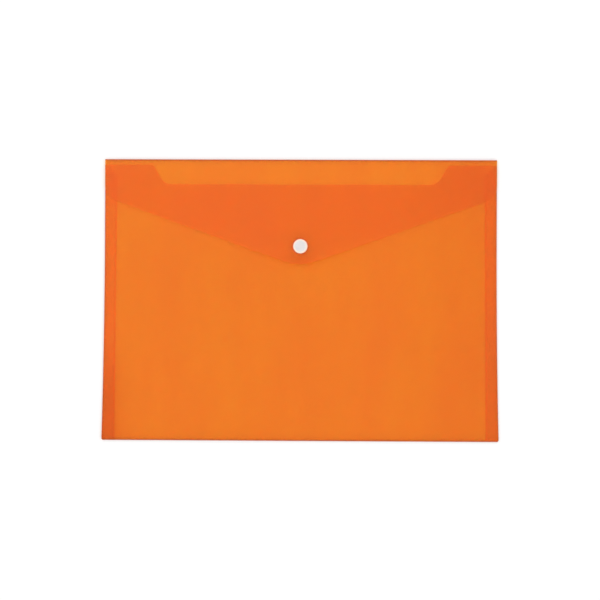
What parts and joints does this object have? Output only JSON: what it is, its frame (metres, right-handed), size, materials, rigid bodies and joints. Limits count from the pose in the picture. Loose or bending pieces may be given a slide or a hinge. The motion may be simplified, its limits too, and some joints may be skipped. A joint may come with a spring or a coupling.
{
  "type": "document wallet",
  "caption": "Flat document wallet folded from one translucent plastic sheet, with a side-gusseted pocket and a pointed flap held shut by a round press stud.",
  "frame": {"origin": "centre of the footprint, on the face that rests on the table, with the wallet closed and lying on its back", "axes": "+X across the wallet, to the right seen from the front; +Y from the bottom fold to the top crease; +Z out of the front, from the back panel towards the flap and the snap cap"},
  "size_m": [0.335, 0.237, 0.0066],
  "materials": {
    "sheet": "satin",
    "weld": "gloss",
    "snap": "gloss"
  },
  "bodies": {
    "back": {"back_panel": "sheet", "bottom_fold": "sheet", "top_crease": "sheet", "left_side_fold": "sheet", "right_side_fold": "sheet", "left_gusset": "sheet", "right_gusset": "sheet", "left_weld_seam": "weld", "right_weld_seam": "weld"},
    "front": {"front_panel": "sheet", "snap_stud": "snap", "stud_cap": "snap"},
    "flap": {"flap": "sheet", "snap_cap": "snap", "snap_socket": "snap"}
  },
  "joints": [
    {"name": "flap_hinge", "type": "hinge", "parent": "back", "child": "flap", "pos_m": [0, 0.11745, 0.00105], "axis": [-1, 0, 0], "range_deg": [0, 176], "deforming": ["top_crease"]},
    {"name": "front_panel_hinge", "type": "hinge", "parent": "back", "child": "front", "pos_m": [0, -0.1177, 0.0008], "axis": [1, 0, 0], "range_deg": [0, 3.52]}
  ],
  "couplings": [
    {"joint": "front_panel_hinge", "follows": "flap_hinge", "ratio": 0.02}
  ]
}
